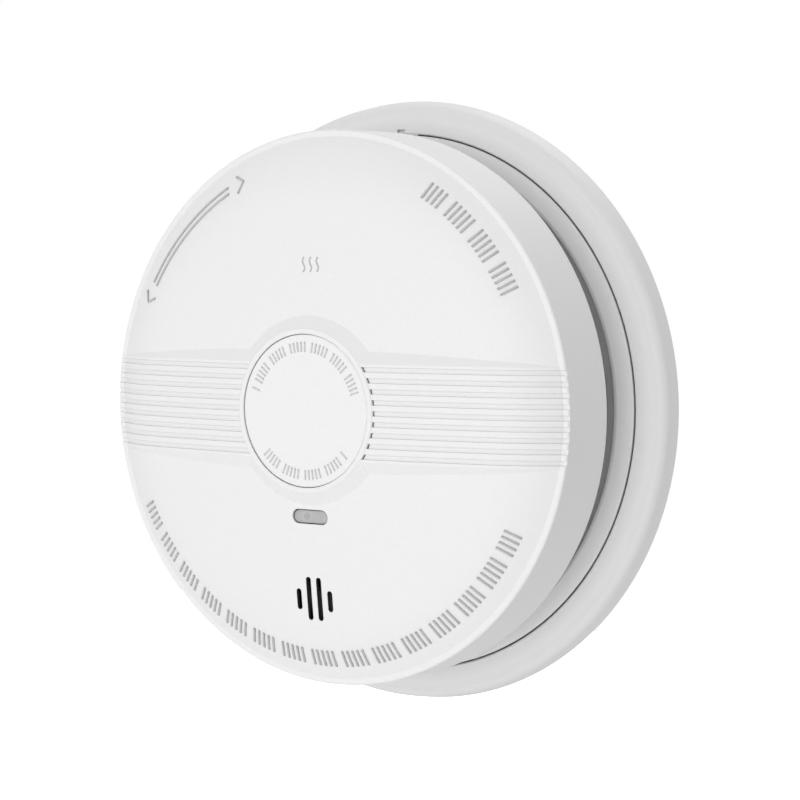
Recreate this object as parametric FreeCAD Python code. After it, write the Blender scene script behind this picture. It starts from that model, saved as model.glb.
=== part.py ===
"""Battery smoke alarm on a twist-lock wall plate.

The row frame has +Z up and the alarm's face looking along -Y. The origin is the centre of the plate's
back face, so the wall is the plane y = 0. Radii are taken about the Y axis, and a "height" is the
distance out from the wall, so height h lies at y = -h. Angles run counter-clockwise as seen from the
room, from +X towards +Z. All lengths are millimetres.
"""
import FreeCAD, Part
import math
import os

Vector = FreeCAD.Vector

# ---- overall sizes ----
PLATE_RADIUS = 70.7
COVER_RADIUS = 62.75
WALL = 2.0                      # moulded wall of the cover
EDGE = 0.3                      # small break on moulded edges
EPS = 0.05                      # working gap between pieces that touch
OVER = 1.0                      # how far a cutter runs past the face it cuts

# ---- wall plate ----
PLATE_FLOOR = 2.2
PLATE_LIP = (70.15, 3.0)        # top of the outer edge, which leans in a little
PLATE_SHOULDER = 2.3            # radius between the outer edge and the rim's top
PLATE_TILT = 6.0                # degrees that the rim's top falls outwards
PLATE_CREST = 5.9
PLATE_WELL_RADIUS = 62.8        # inside wall that the body's skirt turns in
PLATE_RELIEF = (64.7, 68.5)     # hollow in the back of the rim
CABLE_HOLE_RADIUS = 14.0
CABLE_COLLAR = (1.5, 0.5)       # width and height of the collar round the hole
SCREW_SPACING = 86.0            # slots reach both 83.3 mm and 88.9 mm box screws
SCREW_SLOT_LENGTH = 11.4
SCREW_SLOT_RADIUS = 2.2
NOTCH_SPAN = (-0.9, 1.3)        # shallow pry notch at the top of the rim, open to the well
NOTCH_TOP = 63.9
NOTCH_DEPTH = 1.0
KEY_ANGLES = (85.5, 96.0)       # here the rim closes up to the skirt

# ---- twist lock ----
HOOK_ANGLES = (100.0, 220.0, 340.0)
HOOK_RADIUS = 46.0
HOOK_HALF_ANGLE = 5.0
HOOK_STEM = 2.0
HOOK_HEAD = 4.8
HOOK_HEAD_THICKNESS = 1.5
HOOK_LIFT = 0.15                # play under the hook's head
TWIST_TRAVEL = 15.0             # degrees from locked to free
SLOT_CLEAR = 0.4

# ---- rear housing ----
FLOOR_BACK = 3.0
FLOOR_FRONT = 5.4
SKIRT_RADIUS = 62.5
SKIRT_CREST = (59.0, 7.9)
SKIRT_FOOT_RADIUS = 57.4        # inner foot of the skirt
DRUM_OUTER = 55.5
DRUM_INNER = 54.0
DRUM_TOP = 30.0
INLET_COUNT = 48
INLET_LOW = 8.6
INLET_HIGH = 17.6
INLET_WIDTH = 4.8
BOARD_POST_RADIUS = 3.0
COVER_POST_RADIUS = 3.6

# ---- cover ----
COVER_REAR = 18.3
RIM_HEIGHT = 34.3
RIM_INNER = 61.25
REAR_EDGE_RADIUS = 62.9
DOME = (42.6, (47.0, 39.65), (RIM_INNER, RIM_HEIGHT))      # apex, knee, rim
BAND = (44.2, (47.0, 40.4), (RIM_INNER, RIM_HEIGHT + 0.05))
GROOVE_FLOOR = (43.8, (47.0, 40.0), (RIM_INNER, RIM_HEIGHT - 0.4))
BAND_HALF_WIDTH = 10.75
BAND_DROP = 6.0                 # depth over which the band's sides are drawn
BAND_FLANK = 1.8                # run of the band's sloping side for one unit of drop
GROOVE_COUNT = 9
GROOVE_PITCH = 2.395
GROOVE_WIDTH = 1.12
RING_INNER = 17.2
RING_OUTER = 18.5
RING_TOP = 43.8
RING_FOOT = (21.2, 42.0)
VENT_OUTER = 18.75              # slit where each groove meets the ring, open to the inside
VENT_LOW = 38.0
SLEEVE_END = 38.75
WINDOW_Z = -23.85
WINDOW_LENGTH = 9.8
WINDOW_HEIGHT = 3.3
WINDOW_GAP = 0.2
SOUND_SLOT_WIDTH = 1.35
SOUND_SLOTS = ((1.41, -47.5, -37.6), (4.3, -45.25, -40.45))    # offset, low end, high end
SOUND_POCKET = (7.0, -42.5)     # radius and centre of the thinner wall behind the slots
SOUND_SKIN = 0.9

# ---- test button and its switch ----
BUTTON_RADIUS = 17.1
BUTTON_TOP = RING_TOP - 0.2
BUTTON_SKIN = 1.8
BUTTON_FLANGE_RADIUS = 18.3
BUTTON_FLANGE = (37.4, 38.6)
BUTTON_SKIRT_INNER = 15.2
BUTTON_EDGE = 0.35
BOSS_RADIUS = 3.6
PLUNGER_RADIUS = 3.2
PLUNGER = (31.3, 37.0)
SWITCH_HALF = 6.0
SWITCH_TOP = 33.4
SWITCH_FLOOR = 30.2
SWITCH_PINS = (5.0, 4.0)        # half spacings of the four feet

# ---- circuit board and what stands on it ----
BOARD = (28.0, 29.6)
BOARD_RADIUS = 52.0
ON_BOARD = BOARD[1] + EPS       # foot of everything that stands on the board
CHIP_AT = (-24.0, 6.0)
CHIP_PITCH = 1.27
CAPACITORS_AT = ((24.0, 8.0), (26.0, -6.0))
COIL_AT = (-27.0, -12.0)
BOARD_SCREW_RADIUS = 46.5
BOARD_SCREW_ANGLES = (20.0, 160.0)
BOARD_PIN_ANGLE = 270.0         # plain post whose tip locates the board below the screws
BOARD_PIN_RADIUS = 1.4
COVER_SCREW_RADIUS = 47.0
COVER_SCREW_ANGLES = (55.0, 125.0, 246.0, 294.0)
COVER_SCREW_SEAT = 2.0          # wall under the cover screws' heads
SCREW_HEAD = 1.7
SCREW_RECESS = 0.9
SCREW_BITE = 7.5                # reach of a screw past the board's back
HORN_Z = -38.5
HORN_RADIUS = 11.5
HORN_TOP = 36.6
HORN_WALL = 1.5
HORN_MOUTH_RADIUS = 3.0
HORN_SEAT = 1.4                 # height of the ledge that the sounder disc rests on
SOUNDER_DISC = 0.4
COLLAR_GAP = 0.3                # cover's collar round the horn

# ---- batteries ----
CELL_RADIUS = 7.1
CELL_LENGTH = 49.5
CELL_NUB = 1.0
CELL_NUB_RADIUS = 2.6
CELL_Z = (-14.8, -29.4)
CELL_HEIGHT = 11.8
BOX_HALF_LENGTH = 27.4
BOX_Z = (-37.0, -7.2)
BOX_TOP = 19.4
BOX_WALL = 1.3
DOOR_LEDGE = 4.4
DOOR_MARGIN = 2.4
DOOR_GAP = 0.25
DOOR_TABS_AT = (-10.0, 10.0)
DOOR_TAB_WIDTH = 5.0
DOOR_TAB_THICKNESS = 0.7
DOOR_TAB_REACH = 1.4
DOOR_GRIPS_AT = (-12.0, -14.0, -16.0)
DOOR_GRIP = 0.8
LEAD_RADIUS = 0.8
LEAD_X = BOX_HALF_LENGTH - 1.6
CONTACT_THICKNESS = 0.4
CONTACT_HALF_WIDTH = 4.0

# ---- smoke chamber ----
CHAMBER_Z = 17.0
CHAMBER_RADIUS = 20.0
CHAMBER_LOW = 10.0
CHAMBER_SKIN = 1.4
CHAMBER_TOP = BOARD[0] - EPS
FIN_COUNT = 16
FIN_THICKNESS = 0.8
FIN_RADII = (15.2, 19.0)
FIN_BEND = 3.2                  # reach of each fin's bent leg
SCREEN_THICKNESS = 0.4
SCREEN_ROWS = 4
SCREEN_COLUMNS = 36
SCREEN_BAR = 0.9                # metal left between two rows
SCREEN_HOLE = (-1.2, 1.2)
OPTIC_ANGLES = (155.0, 25.0)    # emitter, receiver
OPTIC_HEIGHT = 19.5
OPTIC_RADIUS = 2.5
OPTIC_REACH = 9.0               # lens tip from the chamber's axis
OPTIC_LEG_X = OPTIC_REACH + OPTIC_RADIUS + 4.0
OPTIC_LEG_PITCH = 2.54
OPTIC_LEG_RADIUS = 0.25


# ---------------------------------------------------------------- helpers
def point(radius, height):
    return Vector(radius, -height, 0)


def line(start, end):
    return Part.makeLine(point(*start), point(*end))


def arc(start, middle, end):
    return Part.Arc(point(*start), point(*middle), point(*end)).toShape()


def outline(points):
    """Straight edges through a list of (radius, height) points."""
    return [line(a, b) for a, b in zip(points, points[1:])]


def turned(edges):
    """Solid of revolution about the Y axis from a closed set of edges."""
    face = Part.Face(Part.Wire(Part.__sortEdges__(edges)))
    return face.revolve(Vector(0, 0, 0), Vector(0, 1, 0), 360)


def turned_from_top(edges):
    """The same solid with its seam at 12 o'clock, clear of the band."""
    return spun(turned(edges), 90.0)


def disc(radius, low, high, x=0.0, z=0.0):
    return Part.makeCylinder(radius, high - low, Vector(x, -high, z), Vector(0, 1, 0))


def ring(inner, outer, low, high, x=0.0, z=0.0):
    return disc(outer, low, high, x, z).cut(disc(inner, low - OVER, high + OVER, x, z))


def block(x_range, heights, z_range):
    """Box between two x values, two heights and two z values."""
    size = (x_range[1] - x_range[0], heights[1] - heights[0], z_range[1] - z_range[0])
    return Part.makeBox(*size, Vector(x_range[0], -heights[1], z_range[0]))


def centred_block(size, heights, x=0.0, z=0.0):
    half_x, half_z = size[0] / 2, size[1] / 2
    return block((x - half_x, x + half_x), heights, (z - half_z, z + half_z))


def spun(shape, angle):
    """Copy turned counter-clockwise, seen from the room, by an angle in degrees."""
    copy = shape.copy()
    copy.rotate(Vector(0, 0, 0), Vector(0, -1, 0), angle)
    return copy


def polar(radius, angle):
    """(x, z) of a point on a circle about the alarm's axis."""
    return radius * math.cos(math.radians(angle)), radius * math.sin(math.radians(angle))


def sector(inner, outer, heights, start, end):
    """Part of a ring between two angles."""
    profile = outline([(inner, heights[0]), (outer, heights[0]), (outer, heights[1]),
                       (inner, heights[1]), (inner, heights[0])])
    face = Part.Face(Part.Wire(profile))
    return spun(face.revolve(Vector(0, 0, 0), Vector(0, -1, 0), end - start), start)


def oblong(length, width, heights, x=0.0, z=0.0, upright=False):
    """Round-ended slot shape, along X unless it is upright."""
    reach = length / 2 - width / 2
    step = (0.0, reach) if upright else (reach, 0.0)
    size = (width, 2 * reach) if upright else (2 * reach, width)
    body = centred_block(size, heights, x, z)
    ends = [disc(width / 2, *heights, x + side * step[0], z + side * step[1]) for side in (-1, 1)]
    return body.multiFuse(ends).removeSplitter()


def fused(shapes):
    shapes = list(shapes)
    return shapes[0].multiFuse(shapes[1:]).removeSplitter()


def crown(apex, knee, rim, depth=0.0):
    """Edges of a crowned face: a flat arc to the knee, then a tangent tighter arc down to the rim.

    depth moves both arcs inwards by that much, which gives the inner side of a wall.
    """
    drop = apex - knee[1]
    flat = (knee[0] ** 2 + drop ** 2) / (2 * drop)
    knee_angle = math.asin(knee[0] / flat)
    normal = (math.sin(knee_angle), math.cos(knee_angle))
    run = (rim[0] - knee[0], rim[1] - knee[1])
    tight = -(run[0] ** 2 + run[1] ** 2) / (2 * (run[0] * normal[0] + run[1] * normal[1]))
    centre = (knee[0] - tight * normal[0], knee[1] - tight * normal[1])
    rim_angle = math.asin((rim[0] - centre[0]) / tight)

    def on_flat(angle):
        reach = flat - depth
        return reach * math.sin(angle), apex - flat + reach * math.cos(angle)

    def on_tight(angle):
        reach = tight - depth
        return centre[0] + reach * math.sin(angle), centre[1] + reach * math.cos(angle)

    middle = (knee_angle + rim_angle) / 2
    edges = [arc(on_flat(0), on_flat(knee_angle / 2), on_flat(knee_angle)),
             arc(on_tight(knee_angle), on_tight(middle), on_tight(rim_angle))]
    return edges, on_tight(rim_angle)


# ---------------------------------------------------------------- wall plate
def shoulder_point(angle):
    """Point on the plate's rounded shoulder; the angle is measured from straight out of the wall."""
    turn = math.radians(angle)
    lip_radius, lip_height = PLATE_LIP
    return (lip_radius - PLATE_SHOULDER * (1 - math.sin(turn)), lip_height + PLATE_SHOULDER * math.cos(turn))


def plate_body():
    shoulder_top = shoulder_point(PLATE_TILT)
    shoulder = arc(PLATE_LIP, shoulder_point(48.0), shoulder_top)
    back_and_lip = outline([(0, 0), (PLATE_RADIUS - EDGE, 0), (PLATE_RADIUS, EDGE), PLATE_LIP])
    top_and_well = outline([shoulder_top, (PLATE_WELL_RADIUS + EDGE, PLATE_CREST),
                            (PLATE_WELL_RADIUS, PLATE_CREST - EDGE), (PLATE_WELL_RADIUS, PLATE_FLOOR),
                            (0, PLATE_FLOOR), (0, 0)])
    return turned(back_and_lip + [shoulder] + top_and_well)


def mounting_plate():
    above = PLATE_CREST + OVER
    relief = ring(*PLATE_RELIEF, -OVER, PLATE_FLOOR)
    slots = [oblong(SCREW_SLOT_LENGTH, 2 * SCREW_SLOT_RADIUS, (-OVER, above), side * SCREW_SPACING / 2)
             for side in (-1, 1)]
    cable_hole = disc(CABLE_HOLE_RADIUS, -OVER, above)
    notch = block(NOTCH_SPAN, (PLATE_CREST - NOTCH_DEPTH, above), (SKIRT_RADIUS + EPS, NOTCH_TOP))
    key_heights = (PLATE_FLOOR - EPS, PLATE_CREST - EDGE)
    key = sector(SKIRT_RADIUS + EPS, PLATE_WELL_RADIUS + EPS, key_heights, *KEY_ANGLES)
    width, height = CABLE_COLLAR
    collar = ring(CABLE_HOLE_RADIUS, CABLE_HOLE_RADIUS + width, PLATE_FLOOR - EPS, PLATE_FLOOR + height)
    plate = fused([plate_body(), collar, key] + [twist_hook(angle) for angle in HOOK_ANGLES])
    return plate.cut(Part.makeCompound([relief, cable_hole, notch] + slots))


def twist_hook(angle):
    """T-shaped hook: a stem through the housing floor with a head that overhangs both sides of its slot."""
    span = (angle - HOOK_HALF_ANGLE, angle + HOOK_HALF_ANGLE)
    low = FLOOR_FRONT + HOOK_LIFT

    def strip(width, heights):
        return sector(HOOK_RADIUS - width / 2, HOOK_RADIUS + width / 2, heights, *span)

    stem = strip(HOOK_STEM, (PLATE_FLOOR - EPS, low + EPS))
    head = strip(HOOK_HEAD, (low, low + HOOK_HEAD_THICKNESS))
    return stem.fuse(head)


def hook_slot(angle):
    """Opening for one hook: narrow where the alarm is locked, wide where it lifts off."""
    heights = (FLOOR_BACK - OVER, FLOOR_FRONT + OVER)
    margin = math.degrees(SLOT_CLEAR / HOOK_RADIUS)
    turn = HOOK_HALF_ANGLE + margin
    narrow = HOOK_STEM / 2 + SLOT_CLEAR
    wide = HOOK_HEAD / 2 + SLOT_CLEAR
    track = sector(HOOK_RADIUS - narrow, HOOK_RADIUS + narrow, heights, angle - TWIST_TRAVEL, angle + turn)
    mouth = sector(HOOK_RADIUS - wide, HOOK_RADIUS + wide, heights,
                   angle - TWIST_TRAVEL - turn, angle - TWIST_TRAVEL + turn)
    return track.fuse(mouth)


# ---------------------------------------------------------------- rear housing
def screw_posts(radius, angles, post_radius, top):
    return [disc(post_radius, FLOOR_FRONT - EPS, top, *polar(radius, angle)) for angle in angles]


def screw_holes(radius, angles, hole_radius, heights):
    return [disc(hole_radius, *heights, *polar(radius, angle)) for angle in angles]


def housing_shell():
    """Floor, sloping skirt and drum wall in one turned profile."""
    crest_radius, crest = SKIRT_CREST
    return turned(outline([(0, FLOOR_BACK), (SKIRT_RADIUS - EDGE, FLOOR_BACK),
                           (SKIRT_RADIUS, FLOOR_BACK + EDGE), (SKIRT_RADIUS, PLATE_CREST),
                           (SKIRT_RADIUS - EDGE, PLATE_CREST + EDGE),
                           (crest_radius + EDGE, crest), (crest_radius - EDGE, crest),
                           (crest_radius - 2 * EDGE, crest - EDGE), (SKIRT_FOOT_RADIUS, FLOOR_FRONT),
                           (DRUM_OUTER, FLOOR_FRONT), (DRUM_OUTER, DRUM_TOP), (DRUM_INNER, DRUM_TOP),
                           (DRUM_INNER, FLOOR_FRONT), (0, FLOOR_FRONT), (0, FLOOR_BACK)]))


def housing_posts():
    """Posts that the board stands on, a pin that locates it, and posts for the cover screws."""
    board_angles = BOARD_SCREW_ANGLES + (BOARD_PIN_ANGLE,)
    posts = screw_posts(BOARD_SCREW_RADIUS, board_angles, BOARD_POST_RADIUS, BOARD[0])
    posts += screw_posts(BOARD_SCREW_RADIUS, [BOARD_PIN_ANGLE], BOARD_PIN_RADIUS, BOARD[1] - EPS)
    return posts + screw_posts(COVER_SCREW_RADIUS, COVER_SCREW_ANGLES, COVER_POST_RADIUS, BOARD[0] - EPS)


def housing_screw_holes():
    past = BOARD[0] + OVER
    pilot_radius, well_radius, clear_radius = 1.15, 2.7, 1.4
    pilot_end = BOARD[0] - 9.0
    seat = BOARD[0] - COVER_SCREW_SEAT
    holes = screw_holes(BOARD_SCREW_RADIUS, BOARD_SCREW_ANGLES, pilot_radius, (pilot_end, past))
    holes += screw_holes(COVER_SCREW_RADIUS, COVER_SCREW_ANGLES, well_radius, (FLOOR_BACK - OVER, seat))
    return holes + screw_holes(COVER_SCREW_RADIUS, COVER_SCREW_ANGLES, clear_radius, (seat - OVER, past))


def inlets():
    """Ring of openings in the drum that the smoke passes through."""
    across = (DRUM_INNER - OVER, DRUM_OUTER + OVER)
    inlet = block(across, (INLET_LOW, INLET_HIGH), (-INLET_WIDTH / 2, INLET_WIDTH / 2))
    return [spun(inlet, index * 360.0 / INLET_COUNT) for index in range(INLET_COUNT)]


def rear_housing():
    half, wall = BOX_HALF_LENGTH, BOX_WALL
    box_outer = block((-half - wall, half + wall), (FLOOR_FRONT - EPS, BOX_TOP + wall),
                      (BOX_Z[0] - wall, BOX_Z[1] + wall))
    box_inner = block((-half, half), (FLOOR_BACK - OVER, BOX_TOP), BOX_Z)
    recess = door_plate(DOOR_GAP, FLOOR_BACK - OVER, DOOR_LEDGE)
    lead_holes = [disc(1.5 * LEAD_RADIUS, BOX_TOP - OVER, BOX_TOP + wall + OVER, side * LEAD_X, CELL_Z[0])
                  for side in (-1, 1)]
    solid = fused([housing_shell(), box_outer] + housing_posts())
    cutters = [box_inner, recess] + door_tabs(DOOR_GAP) + lead_holes + housing_screw_holes() + inlets()
    cutters += [hook_slot(angle) for angle in HOOK_ANGLES]
    return solid.cut(Part.makeCompound(cutters))


# ---------------------------------------------------------------- cover
def crowned(curve, base):
    """Solid between a crowned surface turned about the axis and a level, carried on flat past the rim."""
    edges, rim = crown(*curve)
    reach = COVER_RADIUS + OVER
    return turned_from_top(edges + outline([rim, (reach, rim[1]), (reach, base), (0, base), (0, curve[0])]))


def band():
    """Raised band across the face, with sloping flanks that die out towards the rim."""
    reach = (-COVER_RADIUS, COVER_RADIUS)
    width = (-BAND_HALF_WIDTH, BAND_HALF_WIDTH)
    core = crowned(BAND, COVER_REAR).common(block(reach, (COVER_REAR - OVER, BAND[0] + OVER), width))
    sides = sorted(core.Faces, key=lambda face: face.CenterOfMass.z)
    run = BAND_DROP * BAND_FLANK
    flanks = [sides[0].extrude(Vector(0, BAND_DROP, -run)), sides[-1].extrude(Vector(0, BAND_DROP, run))]
    return core.multiFuse(flanks).common(disc(RIM_INNER, BOARD[1], BAND[0] + OVER))


def groove_centres():
    middle = (GROOVE_COUNT - 1) / 2
    return [(index - middle) * GROOVE_PITCH for index in range(GROOVE_COUNT)]


def grooves():
    """Cutters for the grooves between the ribs, from the ring out over the rim, with a slit at their start."""
    above = RING_TOP + OVER
    zone = crowned(GROOVE_FLOOR, above).cut(disc(RING_OUTER, BOARD[1], above + OVER))
    slit_ring = ring(RING_OUTER, VENT_OUTER, VENT_LOW, above)
    cutters = []
    for centre in groove_centres():
        slab = centred_block((2 * (COVER_RADIUS + OVER), GROOVE_WIDTH), (COVER_REAR, above + OVER), 0, centre)
        cutters += [slab.common(zone), slab.common(slit_ring)]
    return cutters


def cover_outside():
    edges, rim = crown(*DOME)
    return turned_from_top(edges + outline([rim, (COVER_RADIUS - EDGE, RIM_HEIGHT),
                                            (COVER_RADIUS, RIM_HEIGHT - EDGE),
                                            (REAR_EDGE_RADIUS, COVER_REAR + EDGE),
                                            (REAR_EDGE_RADIUS - EDGE, COVER_REAR), (0, COVER_REAR),
                                            (0, DOME[0])]))


def under_dome(depth):
    """Space behind the face and inside the side wall, at a depth from the outside."""
    edges, rim = crown(*DOME, depth=depth)
    below = COVER_REAR - OVER
    return turned_from_top(edges + outline([rim, (COVER_RADIUS - depth, rim[1] - EDGE),
                                            (REAR_EDGE_RADIUS - depth, below), (0, below),
                                            (0, DOME[0] - depth)]))


def button_ring():
    """Raised ring round the button, with a bevel down to the face."""
    foot = RING_FOOT[1] - OVER
    return turned(outline([(0, foot), (RING_FOOT[0], foot), RING_FOOT, (RING_OUTER, RING_TOP - EDGE / 2),
                           (RING_OUTER - EDGE / 2, RING_TOP), (0, RING_TOP), (0, foot)]))


def face_openings():
    """Cutters for the button opening, the sound slots with their thinner wall, and the status window."""
    above = RING_TOP + OVER
    low = SLEEVE_END - OVER
    cutters = [disc(RING_INNER, BOARD[0], above)]
    for offset, low_z, high_z in SOUND_SLOTS:
        length, centre = high_z - low_z, (low_z + high_z) / 2
        cutters += [oblong(length, SOUND_SLOT_WIDTH, (low, above), side * offset, centre, upright=True)
                    for side in (-1, 1)]
    pocket_radius, pocket_z = SOUND_POCKET
    cutters.append(disc(pocket_radius, HORN_TOP, above, 0, pocket_z).common(under_dome(SOUND_SKIN)))
    cutters.append(oblong(WINDOW_LENGTH, WINDOW_HEIGHT, (low, above), 0, WINDOW_Z))
    return cutters


def cover_bosses():
    """Bosses that take the cover screws, from the board up into the face."""
    top = DOME[1][1] - WALL
    keep = disc(COVER_RADIUS, BOARD[0] + EDGE, RING_TOP)
    return [boss.common(keep) for boss in screw_posts(COVER_SCREW_RADIUS, COVER_SCREW_ANGLES, 3.0, top)]


def horn_collar():
    """Wall on the back of the face that fits round the horn."""
    inner = HORN_RADIUS + COLLAR_GAP
    collar = ring(inner, inner + OVER, HORN_TOP - 3.0, SLEEVE_END, 0, HORN_Z)
    return collar.common(disc(DRUM_INNER - OVER, COVER_REAR, RING_TOP)).common(cover_outside())


def front_cover():
    shell = cover_outside().multiFuse([band(), button_ring()]).removeSplitter()
    shell = shell.cut(under_dome(WALL))
    sleeve = ring(RING_INNER, RING_OUTER, SLEEVE_END, RING_TOP - OVER)
    solid = fused([shell, sleeve, horn_collar()] + cover_bosses())
    cutters = face_openings() + grooves()
    cutters += screw_holes(COVER_SCREW_RADIUS, COVER_SCREW_ANGLES, 1.25, (BOARD[0], DOME[1][1] - 1.5 * WALL))
    return solid.cut(Part.makeCompound(cutters))


# ---------------------------------------------------------------- test button and switch
def test_button():
    flange_low, flange_high = BUTTON_FLANGE
    skin_low = BUTTON_TOP - BUTTON_SKIN
    flat_radius = BUTTON_RADIUS - BUTTON_EDGE
    edge_low = BUTTON_TOP - BUTTON_EDGE
    bulge = BUTTON_EDGE * (1 - math.sin(math.pi / 4))
    edges = outline([(0, PLUNGER[1] + EPS), (BOSS_RADIUS, PLUNGER[1] + EPS), (BOSS_RADIUS, skin_low),
                     (BUTTON_SKIRT_INNER, skin_low), (BUTTON_SKIRT_INNER, flange_low),
                     (BUTTON_FLANGE_RADIUS, flange_low), (BUTTON_FLANGE_RADIUS, flange_high),
                     (BUTTON_RADIUS, flange_high), (BUTTON_RADIUS, edge_low)])
    soft_edge = (BUTTON_RADIUS - bulge, BUTTON_TOP - bulge)
    edges.append(arc((BUTTON_RADIUS, edge_low), soft_edge, (flat_radius, BUTTON_TOP)))
    edges += outline([(flat_radius, BUTTON_TOP), (0, BUTTON_TOP), (0, PLUNGER[1] + EPS)])
    return turned(edges)


def switch_pins():
    half_x, half_z = SWITCH_PINS
    return [(x, z) for x in (-half_x, half_x) for z in (-half_z, half_z)]


def switch_body():
    case = centred_block((2 * SWITCH_HALF, 2 * SWITCH_HALF), (BOARD[1] + EPS, SWITCH_TOP))
    feet = [centred_block((1.0, 0.6), (BOARD[0] + EDGE, BOARD[1] + OVER), x, z) for x, z in switch_pins()]
    collar = disc(PLUNGER_RADIUS + 1.2, SWITCH_TOP - EPS, SWITCH_TOP + 1.0)
    return fused([case, collar] + feet).cut(disc(PLUNGER_RADIUS + EPS, SWITCH_FLOOR, SWITCH_TOP + 2 * OVER))


def switch_plunger():
    low, high = PLUNGER
    return turned(outline([(0, low), (PLUNGER_RADIUS, low), (PLUNGER_RADIUS, high - 0.4),
                           (PLUNGER_RADIUS - 0.4, high), (0, high), (0, low)]))


# ---------------------------------------------------------------- circuit board
def circuit_board():
    board = disc(BOARD_RADIUS, *BOARD)
    through = (BOARD[0] - OVER, BOARD[1] + OVER)
    holes = screw_holes(BOARD_SCREW_RADIUS, BOARD_SCREW_ANGLES + (BOARD_PIN_ANGLE,), 1.6, through)
    holes += screw_holes(COVER_SCREW_RADIUS, COVER_SCREW_ANGLES, 3.4, through)
    holes += [centred_block((1.4, 1.0), through, x, z) for x, z in switch_pins()]
    return board.cut(Part.makeCompound(holes))


def control_chip():
    x, z = CHIP_AT
    body = centred_block((10.0, 4.0), (ON_BOARD + 0.1, ON_BOARD + 1.75), x, z)
    legs = [centred_block((0.45, 6.0), (ON_BOARD, ON_BOARD + 0.3), x + (index - 3.5) * CHIP_PITCH, z)
            for index in range(8)]
    return fused([body] + legs)


def capacitors():
    """Two electrolytic cans, each with its crimped groove."""
    radius, height = 4.0, 7.5
    cans = []
    for x, z in CAPACITORS_AT:
        can = disc(radius, ON_BOARD, ON_BOARD + height, x, z)
        crimp = ring(radius - 0.3, radius + OVER, ON_BOARD + 1.0, ON_BOARD + 1.5, x, z)
        cans.append(can.cut(crimp))
    return Part.makeCompound(cans)


def booster_coil():
    """Wound drum with a flange at each end."""
    top = ON_BOARD + 7.0
    flange = 1.0
    drum = disc(4.2, ON_BOARD, top, *COIL_AT)
    flanges = [disc(5.0, low, low + flange, *COIL_AT) for low in (ON_BOARD, top - flange)]
    return fused([drum] + flanges)


def status_led():
    """3 mm diode standing under the light pipe."""
    radius = 1.5
    top = ON_BOARD + 2 * radius
    body = disc(radius, ON_BOARD, top, 0, WINDOW_Z)
    base = disc(radius + 0.4, ON_BOARD, ON_BOARD + 0.8, 0, WINDOW_Z)
    return fused([body, Part.makeSphere(radius, Vector(0, -top, WINDOW_Z)), base])


def light_pipe():
    """Clear lens that fills the oblong window, held by a flange behind the cover."""
    face, flange_top, flange_low = 41.35, 39.4, 38.4
    length = WINDOW_LENGTH - 2 * WINDOW_GAP
    head = oblong(length, WINDOW_HEIGHT - 2 * WINDOW_GAP, (flange_low, face), 0, WINDOW_Z)
    flange = oblong(length + 2.0, WINDOW_HEIGHT - 2 * WINDOW_GAP, (flange_low, flange_top), 0, WINDOW_Z)
    stem = disc(1.3, ON_BOARD + 5.15, flange_top, 0, WINDOW_Z)
    return fused([head, flange, stem])


# ---------------------------------------------------------------- sounder
def sounder_horn():
    inner = HORN_RADIUS - HORN_WALL
    wall = ring(inner, HORN_RADIUS, ON_BOARD, HORN_TOP, 0, HORN_Z)
    front = ring(HORN_MOUTH_RADIUS, inner + EPS, HORN_TOP - OVER, HORN_TOP, 0, HORN_Z)
    seat = ring(inner - HORN_WALL, inner + EPS, ON_BOARD, ON_BOARD + HORN_SEAT, 0, HORN_Z)
    return fused([wall, front, seat])


def sounder_disc():
    low = ON_BOARD + HORN_SEAT + EPS
    return disc(HORN_RADIUS - HORN_WALL - 2 * EPS, low, low + SOUNDER_DISC, 0, HORN_Z)


def sounder_ceramic():
    low = ON_BOARD + HORN_SEAT + SOUNDER_DISC + 2 * EPS
    return disc(7.0, low, low + 0.3, 0, HORN_Z)


# ---------------------------------------------------------------- smoke chamber
def in_chamber(shape, angle=0.0):
    """Copy of a shape drawn about the alarm's axis, turned and moved onto the chamber's axis."""
    placed = spun(shape, angle)
    placed.translate(Vector(0, 0, CHAMBER_Z))
    return placed


def optic_body():
    """Round 5 mm optical part lying on its side, drawn along +X with its lens towards the origin."""
    along = Vector(1, 0, 0)
    centre = Vector(OPTIC_REACH + OPTIC_RADIUS, -OPTIC_HEIGHT, 0)
    lens = Part.makeSphere(OPTIC_RADIUS, centre)
    barrel = Part.makeCylinder(OPTIC_RADIUS, 4.5, centre, along)
    leg_top = BOARD[0] - EPS
    legs = [disc(OPTIC_LEG_RADIUS, OPTIC_HEIGHT, leg_top, OPTIC_LEG_X, side * OPTIC_LEG_PITCH / 2)
            for side in (-1, 1)]
    return fused([lens, barrel] + legs)


def infrared_led():
    return in_chamber(optic_body(), OPTIC_ANGLES[0])


def photodiode():
    return in_chamber(optic_body(), OPTIC_ANGLES[1])


def chamber_base():
    """Lid against the board, with a holder block for each optical part."""
    lid_low = CHAMBER_TOP - CHAMBER_SKIN
    lid = disc(CHAMBER_RADIUS, lid_low, CHAMBER_TOP, 0, CHAMBER_Z)
    holder = block((OPTIC_REACH + OVER, OPTIC_REACH + 8.5), (OPTIC_HEIGHT - 4.0, lid_low + EPS), (-4.0, 4.0))
    bore_start = Vector(OPTIC_REACH - OVER, -OPTIC_HEIGHT, 0)
    bore = Part.makeCylinder(OPTIC_RADIUS + EPS, 12.0, bore_start, Vector(1, 0, 0))
    leg_slot = centred_block((1.2, OPTIC_LEG_PITCH + 1.1), (OPTIC_HEIGHT, CHAMBER_TOP + OVER), OPTIC_LEG_X)
    solid = fused([lid] + [in_chamber(holder, angle) for angle in OPTIC_ANGLES])
    cutters = [in_chamber(cutter, angle) for cutter in (bore, leg_slot) for angle in OPTIC_ANGLES]
    return solid.cut(Part.makeCompound(cutters))


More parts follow.
